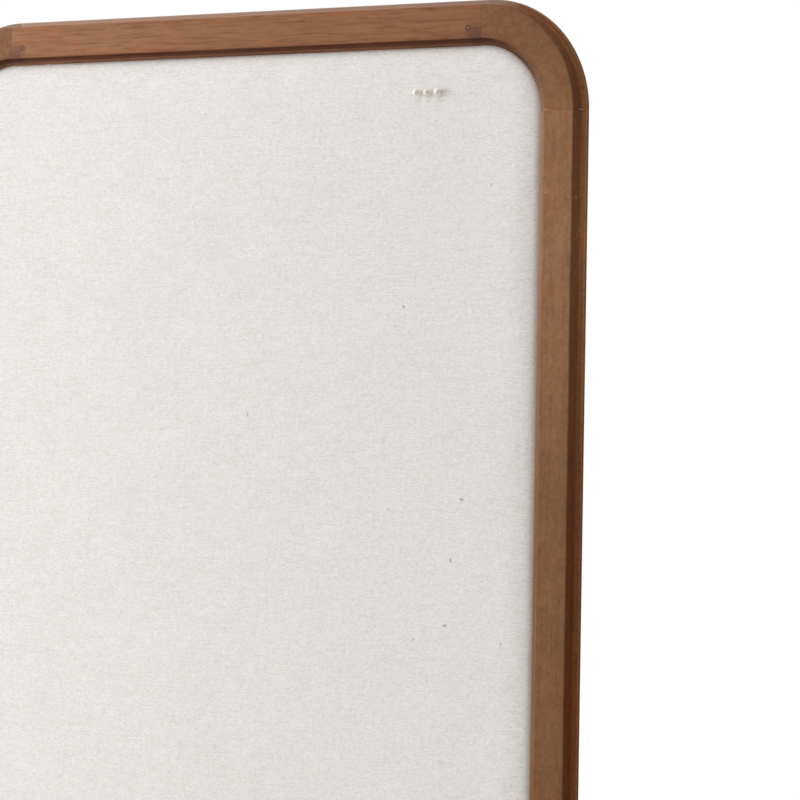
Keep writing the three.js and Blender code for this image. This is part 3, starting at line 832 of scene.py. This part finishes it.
soft_board = outline_face("soft_board", board_inset, 24, (20, 34))
for width in (board_ease, 0.0052, 0.003, 0.004, 0.005, 0.006, 0.007, 0.008):
    bpy.ops.mesh.inset(thickness=width, depth=0)
mesh = bmesh.from_edit_mesh(soft_board.data)
for point in mesh.verts:
    eased = board_ease * max(0, 1 - (inset_of(point.co) - board_inset) / board_ease) ** 2
    point.co.y = board_front + eased - crown(point.co) - frame_depth
bmesh.update_edit_mesh(soft_board.data)
choose(soft_board, "EDGE", lambda edge: edge.is_boundary)
slide(y=board_back - board_front - board_ease)
bpy.ops.mesh.edge_face_add()
close()
pin_spacing = 0.0093
middle_pin_x = half_width - rim_step - 0.1266
pin_z = half_height - rim_step - 0.0638 + board_middle
pin_places = {name: middle_pin_x + i * pin_spacing for i, name in ((-1, "left"), (0, "middle"), (1, "right"))}
needle_hole = 0.0006
needle_hole_end = 0.0118
cut_out(soft_board, [peg(needle_hole, 0.0, needle_hole_end, x, pin_z, 12) for x in pin_places.values()])
smooth(soft_board)
fibreboard = Paint("pressed fibre", roughness=0.95, specular=0.2)
tufts = fibreboard.noise(420, 6, 3.0)
flecks = fibreboard.noise(1500, 2, 7.0)
colour = fibreboard.ramp(
    tufts, (0.36, (0.21, 0.155, 0.10)), (0.5, (0.31, 0.24, 0.16)), (0.66, (0.42, 0.34, 0.24))
)
colour = fibreboard.tint(colour, fibreboard.ramp(flecks, (0.30, 0.45), (0.36, 1.0)), 0.7)
fibreboard.give("Base Color", colour)
fibreboard.bump(tufts, 0.0006, 0.8)
finished(soft_board, fibreboard, "frame", "soft_board", "pin_board")

# Linen: one piece of undyed plain-weave linen stretched over the soft board, turned over its edges and
# stapled behind, its corners eased in small pleats. It dips where the lip presses on it.
linen_thickness = 0.0005
cover_inset = 0.0282
cover_front = 0.0057
cover_back = 0.0158
cover_hole_end = 0.006
hem_width = 0.026
arris = 0.0014
ring_widths = (
    0.0002, 0.0004, 0.0008, 0.0053, 0.0006, 0.0008, 0.001, 0.0012, 0.0014, 0.0016, 0.0018,
    0.002, 0.0024, 0.0028, 0.0032, 0.0036, 0.004, 0.0045, 0.005, 0.006, 0.007,
)
ripple_height = 0.00016
pleats = 7
pleat_height = 0.0012
pleat_start = 0.006


def turned_over(inset, edge_depth, sign):
    """The depth of cloth that turns round an edge, at this inset; sign is 1 for the front's edge."""
    reach = max(0, arris - (inset - cover_inset))
    return edge_depth + sign * (arris - math.sqrt(max(0, arris**2 - reach**2)))


def to_inset(co, inset):
    """The point at another inset on the same line across the board's edge."""
    foot = ring_middle(co)
    return foot + (co - foot).normalized() * (rim_radius - inset)


linen = outline_face("linen", cover_inset, 36, (88, 148))
for width in ring_widths:
    bpy.ops.mesh.inset(thickness=width, depth=0)
mesh = bmesh.from_edit_mesh(linen.data)
for point in mesh.verts:
    inset = inset_of(point.co)
    spot = Vector((point.co.x, 0, point.co.z))
    pull = noise.noise(spot * 22) + 0.6 * noise.noise(spot * 60)
    swell = crown(point.co, crown_run * (1 + 0.28 * pull))
    free = ramped(inset, lip_edge, lip_edge + 0.004) * ramped(inset, lip_edge + 0.05, lip_edge + 0.02)
    ripple = ripple_height * noise.noise(spot * 45 + Vector((7, 0, 3)))
    point.co.y = turned_over(inset, cover_front, 1) - swell - frame_depth
    point.co.y += free * ripple
bmesh.update_edit_mesh(linen.data)
hem_insets = (cover_inset, cover_inset + 0.0002, cover_inset + 0.0006) + tuple(
    cover_inset + hem_width * share for share in (0.054, 0.2, 0.36, 0.52, 0.68, 0.84, 0.97, 1)
)
for inset in hem_insets:
    choose(linen, "EDGE", lambda edge: edge.is_boundary)
    slide(y=0.001)
    mesh = bmesh.from_edit_mesh(linen.data)
    for point in [vert for vert in mesh.verts if vert.select]:
        point.co = to_inset(point.co, inset)
        point.co.y = turned_over(inset, cover_back, -1) - frame_depth
        away = point.co - ring_middle(point.co)
        if abs(away.x) > 1e-5 and abs(away.z) > 1e-5:
            angle = math.atan2(abs(away.z), abs(away.x)) / quarter
            fold = (angle * pleats) % 1
            fold = fold if fold < 0.8 else (1 - fold) * 4
            from_ends = min(1, angle * 9, (1 - angle) * 9)
            point.co.y += pleat_height * held((inset - cover_inset) / pleat_start) * fold * from_ends
    bmesh.update_edit_mesh(linen.data)
take_all()
bpy.ops.mesh.normals_make_consistent(inside=False)
close()
apply(linen, "SOLIDIFY", thickness=linen_thickness, offset=-1)
cut_out(linen, [peg(needle_hole, 0.0, cover_hole_end, x, pin_z, 12) for x in pin_places.values()])
only(linen)
bpy.ops.object.shade_smooth_by_angle(angle=math.radians(50))

# Painted shade on the linen beside the lip, strongest on the right side and faint at the top.
lip_shade_run = 0.0055
lip_shade = linen.data.attributes.new("lip_painted_shade", "FLOAT", "POINT").data
for point in linen.data.vertices:
    outward = (point.co - ring_middle(point.co)).normalized()
    in_front = point.co.y < -frame_depth / 2
    near_lip = in_front * ramped(inset_of(point.co), lip_edge + lip_shade_run, lip_edge) ** 1.3
    by_side = 0.92 * max(0, outward.x) ** 2 + 0.28 * max(0, outward.z) ** 2
    lip_shade[point.index].value = near_lip * (0.08 + by_side)

woven = Paint("undyed linen", roughness=0.95, specular=0.12)
warp = woven.noise((1400, 400, 170), 2, 1.0)
weft = woven.noise((280, 400, 1450), 2, 5.0)
slub = woven.noise((70, 200, 1300), 2, 9.0)
cloud = woven.noise(18, 3, 13.0)
thread = woven.math("ADD", woven.math("MULTIPLY", weft, 0.7), woven.math("MULTIPLY", warp, 0.3))
thread = woven.math("ADD", woven.math("MULTIPLY", thread, 0.78), woven.math("MULTIPLY", slub, 0.22))
shade = woven.ramp(
    thread, (0.36, (0.72, 0.685, 0.655)), (0.50, (0.845, 0.812, 0.787)), (0.64, (0.94, 0.915, 0.895))
)
shade = woven.tint(shade, woven.ramp(cloud, (0.3, 0.985), (0.7, 1.01)))
# Painted shade beside the lip.
shade = woven.tint(shade, (0.55, 0.44, 0.38), woven.mark("lip_painted_shade"))
# Painted shadow: a small soft shade to the right of and below each pin.
for x in pin_places.values():
    shade = woven.spot(shade, (x + 0.0016, 0, pin_z - 0.0008), (220, 0, 300), (0.88, 0.83, 0.79), 0.35)
flecks = (
    (0.1951, -0.4527, 420, 800, 0.42), (0.2082, -0.3585, 420, 650, 0.50), (0.1543, -0.2150, 650, 650, 0.50),
    (0.1994, -0.4041, 900, 360, 0.50), (0.0135, -0.2977, 900, 450, 0.60), (0.2440, -0.4647, 700, 600, 0.68),
    (0.1438, -0.3676, 800, 700, 0.68), (0.1679, -0.4642, 800, 700, 0.70), (0.2299, -0.1248, 700, 800, 0.70),
    (0.2546, -0.5232, 700, 700, 1.22), (0.2423, -0.4655, 900, 900, 1.2), (0.2670, -0.2600, 900, 800, 1.2),
)
for x, z, narrow, low, tint in flecks:
    shade = woven.spot(shade, (x, 0, z), (narrow, 0, low), tint, 0.3)
thread_pitch = 0.0008
across, up = (woven.math("MULTIPLY", woven.along(axis), 1 / thread_pitch) for axis in "XZ")
round_warp, round_weft = (
    woven.math("ABSOLUTE", woven.math("SINE", woven.math("MULTIPLY", threads, math.pi)))
    for threads in (across, up)
)
crossing = woven.math("ADD", woven.math("FLOOR", across), woven.math("FLOOR", up))
weft_over = woven.math("GREATER_THAN", woven.math("FRACT", woven.math("MULTIPLY", crossing, 0.5)), 0.25)
warp_strand = woven.math("MULTIPLY", round_warp, woven.math("MULTIPLY_ADD", round_weft, 0.4, 0.6))
weft_strand = woven.math("MULTIPLY", round_weft, woven.math("MULTIPLY_ADD", round_warp, 0.4, 0.6))
plain = woven.add("Mix", {"data_type": "FLOAT"}, {0: weft_over, 2: warp_strand, 3: weft_strand}).outputs[0]
shade = woven.tint(shade, woven.ramp(plain, (0.08, 0.84), (0.40, 1.10)))
woven.give("Base Color", shade)
woven.give("Sheen Weight", 0.12)
woven.give("Sheen Roughness", 0.5)
woven.bump(woven.math("MULTIPLY_ADD", plain, 0.6, thread), 0.0003, 0.5)
finished(linen, woven, "frame", "linen", "linen_cover")

# Staples: fine steel wire, driven through the hem into the back of the soft board.
# They follow the hem all round, a little in from the turn buttons.
staple_width = 0.010
staple_wire = 0.0006
staple_leg = 0.006
staple_bend = 0.0006
staple_inset = 0.0460
staple_pitch = 0.042
staple_depth = staple_wire / 2 - 0.0002
staple_on_pleats = 0.0006
staple_tilt = 0.12
staple_steel = metal("staple steel", (0.50, 0.50, 0.51), (0.66, 0.66, 0.66), 0.32)
staple = disc("staple", 8, staple_wire / 2, (-staple_width / 2, -staple_leg, 0), (-quarter, 0, 0))
slide(y=staple_leg - staple_bend)
bend(4, quarter, (staple_bend - staple_width / 2, -staple_bend, 0), (0, 0, 1))
slide(x=staple_width - 2 * staple_bend)
bend(4, quarter, (staple_width / 2 - staple_bend, -staple_bend, 0), (0, 0, 1))
slide(y=staple_bend - staple_leg)
close()
staple_places = []
for turn in range(4):
    run, up = 2 * rail_halves[turn], rail_reaches[turn] - rim_radius
    count = round(run / staple_pitch)
    radius = rim_radius - staple_inset
    for i in range(count):
        x = (i + 0.5) / count * run - run / 2
        staple_places.append((turn, (x, staple_depth, up + radius), 0))
    for i in range(2):
        lean = quarter * (i + 0.5) / 2
        x, z = run / 2 + math.sin(lean) * radius, up + math.cos(lean) * radius
        staple_places.append((turn, (x, staple_depth + staple_on_pleats, z), lean))
staples = []
for number, (turn, at, lean) in enumerate(staple_places):
    made = copy_of(staple, "staple_%d" % number)
    lean += staple_tilt * noise.noise(Vector((number * 1.7, 0, 0)))
    settle(made, Matrix.Translation(at) @ turn_by(lean))
    place(made, turn)
    staples.append(made)
bpy.data.objects.remove(staple)
hem_staples = staples[0]
only(hem_staples)
for made in staples:
    made.select_set(True)
bpy.ops.object.join()
hem_staples.name = "hem_staples"
smooth(hem_staples)
finished(hem_staples, staple_steel, "frame", "brad_steel")

# Turn buttons: eight stamped tabs of brassed steel, each on a pan-head screw in a rail's back.
# The nose laps over the board and the pressed bead rides on the hem.
seat_gap = 0.0002
button_thickness = 0.0009
button_foot_radius = 0.005
button_nose_radius = 0.0036
button_reach = 0.025
bead_radius = 0.0017
bead_height = 0.0006
button_bore = 0.00165
button_ease = 0.0002
button_front = frame_depth + seat_gap
button_back = button_front + button_thickness
thread_pitch = 0.0011
core_share = 0.72
plain_shank = 0.0008
head_ease = 0.00012
recess_width = 0.0007
recess_depth = 0.0008
brassed = metal("brassed steel", (0.62, 0.47, 0.22), (0.80, 0.64, 0.34), 0.30)
zinc = metal("zinc plate", (0.58, 0.60, 0.62), (0.74, 0.75, 0.76), 0.30)


def wood_screw(name, radius, length, head_radius, head_height, seat):
    """A pan-head screw with a cross recess, driven in from behind; its head's underside is at this depth."""
    rise = head_height / 3
    dome = head_height - rise
    core = radius * core_share
    depth = seat - length + 2 * thread_pitch
    stations = [(seat - length, radius * 0.08), (depth, core)]
    while depth + thread_pitch < seat - 2 * thread_pitch:
        stations += [(depth + thread_pitch * 0.45, radius), (depth + thread_pitch * 0.55, radius)]
        depth += thread_pitch
        stations.append((depth, core))
    stations += [(seat - plain_shank, radius), (seat, radius), (seat, head_radius * 0.97)]
    stations += [(seat + head_ease, head_radius), (seat + rise, head_radius)]
    for angle in (18, 36, 54, 72, 86):
        angle = math.radians(angle)
        stations.append((seat + rise + dome * math.sin(angle), head_radius * math.cos(angle)))
    part = turned_piece(name, stations)
    slots = []
    for long, high in ((head_radius * 1.1, recess_width), (recess_width, head_radius * 1.1)):
        top = (0, seat + head_height - frame_depth, 0)
        slots.append(box("recess", (long, 2 * recess_depth, high), top))
        close()
    cut_out(part, slots)
    smooth(part, 40)
    return part


button = peg(button_foot_radius, button_front, button_back, 0, 0, 48)
reopen(button)
button_nose_z = -(button_reach - button_nose_radius)
bpy.ops.mesh.primitive_cylinder_add(
    vertices=40, radius=button_nose_radius, depth=button_thickness,
    location=(0, (button_front + button_back) / 2 - frame_depth, button_nose_z), rotation=(quarter, 0, 0),
)
take_all()
bpy.ops.mesh.delete(type="ONLY_FACE")
take_all()
bpy.ops.mesh.convex_hull()
take_all()
bpy.ops.mesh.dissolve_limited(angle_limit=math.radians(1))
choose(button, "EDGE", lambda edge: abs(edge.verts[0].co.y - edge.verts[1].co.y) < 1e-6)
bevel(button_ease, 3)
close()
bead_at = (0, button_back - frame_depth, button_nose_z)
bead = begin(
    "bead", bpy.ops.mesh.primitive_uv_sphere_add, segments=32, ring_count=16,
    radius=bead_radius, location=bead_at,
)
resize((1, bead_height / bead_radius, 1), bead_at)
close()
cut_out(button, [peg(button_bore, button_front - overshoot, button_back + overshoot, 0, 0, 32)])
cut_out(button, [bead], "UNION")
smooth(button, 40)
button_screw = wood_screw("button_screw", 0.0015, 0.009, 0.003, 0.0015, button_back + 0.00015)
for turn, side in enumerate(side_names):
    for end, hand in zip(rail_ends[turn], (-1, 1)):
        name = "%s_%s" % (side, end)
        at = (hand * (rail_halves[turn] - button_offsets[turn]), 0, rail_reaches[turn] - button_inset)
        tab = copy_of(button, "button_" + name)
        place(tab, turn, at)
        finished(tab, brassed, "button_" + name, "brassed_steel", "turn_button_" + name)
        fixing = copy_of(button_screw, "button_screw_" + name)
        settle(fixing, turn_by(1.3 * turn + hand * 0.4))
        place(fixing, turn, at)
        finished(fixing, zinc, "frame", "zinc_steel", "turn_screw_" + name)
bpy.data.objects.remove(button)
bpy.data.objects.remove(button_screw)

# Hangers: on each side rail's back a zinc-plated strap, folded round the bar of a D-ring of round wire
# and held by two pan-head screws. Each ring leans on the rail.
strap_width = 0.012
strap_length = 0.034
strap_thickness = 0.0015
strap_end_radius = 0.0052
strap_hole_radius = 0.00205
strap_ease = 0.00018
curl_bore = 0.0014
curl_radius = 0.00215
ring_wire_radius = 0.00125
ring_half_span = 0.0075 + ring_wire_radius
ring_height = 0.0105 + 2 * ring_wire_radius
ring_corner_radius = 0.0024
ring_butt_gap = 0.0004
hanger_x = half_width - rebate_wall / 2
hanger_z = half_height - 0.190
hanger_front = frame_depth + seat_gap
hanger_screw_drops = (0.011, 0.025)
axis_y = hanger_front + curl_radius - frame_depth


def bar(radius, length, y):
    """A round bar along x at the ring's axis."""
    part = begin(
        "bar", bpy.ops.mesh.primitive_cylinder_add, vertices=40, radius=radius, depth=length,
        location=(0, y, 0), rotation=(0, quarter, 0),
    )
    close()
    return part


plate_low = curl_radius - strap_length
plate_middle = (0, hanger_front + strap_thickness / 2 - frame_depth, plate_low / 2)
strap = box("strap", (strap_width, strap_thickness, -plate_low), plate_middle)


def at_foot(edge):
    """Whether it is one of the two short edges at the plate's lower corners."""
    low = all(point.co.z < plate_low + 1e-6 for point in edge.verts)
    return low and abs(edge.verts[0].co.y - edge.verts[1].co.y) > 1e-4


choose(strap, "EDGE", at_foot)
bevel(strap_end_radius, 10)
close()
cut_out(strap, [bar(curl_radius, strap_width, axis_y)], "UNION")
cutters = [bar(curl_bore, strap_width * 1.2, axis_y)]
cutters += [
    peg(strap_hole_radius, frame_depth - overshoot, 0.02, 0, -drop, 32) for drop in hanger_screw_drops
]
cut_out(strap, cutters)
apply(strap, "BEVEL", width=strap_ease, segments=2, limit_method="ANGLE", angle_limit=math.radians(50))
smooth(strap, 40)

d_ring = disc("d_ring", 20, ring_wire_radius, (ring_butt_gap / 2, 0, 0), (0, quarter, 0))
corner_x = ring_half_span - ring_corner_radius
bow_z = ring_height - ring_half_span
slide(x=corner_x - ring_butt_gap / 2)
bend(10, quarter, (corner_x, 0, ring_corner_radius), (0, 1, 0))
slide(z=bow_z - ring_corner_radius)
bend(32, 2 * quarter, (0, 0, bow_z), (0, 1, 0))
slide(z=ring_corner_radius - bow_z)
bend(10, quarter, (-corner_x, 0, ring_corner_radius), (0, 1, 0))
slide(x=corner_x - ring_butt_gap / 2)
close()
smooth(d_ring, 50)
ring_lean = math.asin((curl_radius - ring_wire_radius) / ring_height)
hanger_seat = hanger_front + strap_thickness + seat_gap
hanger_screw = wood_screw("hanger_screw", 0.00175, 0.010, 0.0034, 0.0017, hanger_seat)
for end, hand in (("left", -1), ("right", 1)):
    at = (hand * hanger_x, 0, hanger_z)
    made = copy_of(strap, "strap_" + end)
    place(made, 0, at)
    finished(made, zinc, "frame", "zinc_steel", "hanger_strap_" + end)
    made = copy_of(d_ring, "d_ring_" + end)
    settle(made, Matrix.Translation((0, axis_y, 0)) @ turn_by(ring_lean, "X"))
    place(made, 0, at)
    finished(made, zinc, "ring_" + end, "zinc_steel", "hanger_ring_" + end)
    for level, drop in zip(("upper", "lower"), hanger_screw_drops):
        made = copy_of(hanger_screw, "strap_screw_%s_%s" % (end, level))
        settle(made, turn_by(0.7 * hand + drop * 90))
        place(made, 0, (at[0], 0, at[2] - drop))
        finished(made, zinc, "frame", "zinc_steel", "hanger_screw_%s_%s" % (end, level))
for made in (strap, d_ring, hanger_screw):
    bpy.data.objects.remove(made)

# Bumpers: two soft black discs stuck to the bottom corners' backs.
# They keep the frame off the wall.
bumper_radius = 0.006
bumper_thickness = 0.003
bumper_ease = 0.0007
rubber = Paint("bumper rubber", roughness=0.8, specular=0.35)
pebble = rubber.noise(1800, 2, 2.0)
rubber.give("Base Color", rubber.ramp(pebble, (0.3, (0.012, 0.011, 0.010)), (0.7, (0.026, 0.024, 0.022))))
rubber.bump(pebble, 0.0001, 0.5)
bumper_run = (rim_radius - rebate_wall / 2) * math.sqrt(0.5)
for end, hand in (("left", -1), ("right", 1)):
    x = hand * (half_width - rim_radius + bumper_run)
    z = board_middle - (half_height - rim_radius + bumper_run)
    stations = [(hanger_front, bumper_radius)]
    for angle in (0, 22, 45, 68, 90):
        angle = math.radians(angle)
        stations.append((
            hanger_front + bumper_thickness - bumper_ease * (1 - math.sin(angle)),
            bumper_radius - bumper_ease * (1 - math.cos(angle)),
        ))
    made = turned_piece("bumper_disc_" + end, stations, x, z, 48)
    smooth(made, 40)
    finished(made, rubber, "frame", "bumper_rubber", "bumper_" + end)

# Pins: three pearl beads, each on a steel needle pushed into the board near the top right.
# A bead stands just off the linen, so a sliver of its needle shows.
pearl_radius = 0.0026
crown_front = cover_front - crown_height
pearl_gap = 0.0005
pearl_back = crown_front - pearl_gap
needle_radius = 0.00045
needle_in_pearl = 0.003
needle_end = pearl_back + 0.0093
nacre = Paint("pearl", roughness=0.34, specular=0.5)
lustre = nacre.noise(500, 2, 6.0)
nacre.give("Base Color", nacre.ramp(lustre, (0.35, (0.85, 0.775, 0.72)), (0.65, (0.93, 0.87, 0.825))))
nacre.give("Coat Weight", 0.25)
nacre.give("Coat Roughness", 0.15)
nacre.bump(nacre.noise(1500, 2, 3.0), 0.00003, 0.4)
pin_steel = metal("pin steel", (0.60, 0.60, 0.61), (0.75, 0.75, 0.75), 0.2)
for name, x in pin_places.items():
    pearl = begin(
        "pearl_" + name, bpy.ops.mesh.primitive_uv_sphere_add, segments=48, ring_count=24,
        radius=pearl_radius, location=(x, pearl_back - pearl_radius - frame_depth, pin_z),
        rotation=(quarter, 0, 0),
    )
    close()
    bore_end = pearl_back - needle_in_pearl - 0.0002
    cut_out(pearl, [peg(needle_radius + 0.0001, bore_end, pearl_back + overshoot, x, pin_z, 16)])
    smooth(pearl, 40)
    finished(pearl, nacre, "pin_" + name, "pearl", "pin_pearl_" + name)
    stations = (
        (pearl_back - needle_in_pearl, needle_radius),
        (needle_end - 0.002, needle_radius),
        (needle_end - 0.0008, needle_radius * 0.5),
        (needle_end, needle_radius * 0.05),
    )
    needle = turned_piece("needle_" + name, stations, x, pin_z, 20)
    smooth(needle, 40)
    finished(needle, pin_steel, "pin_" + name, "needle_steel", "pin_needle_" + name)
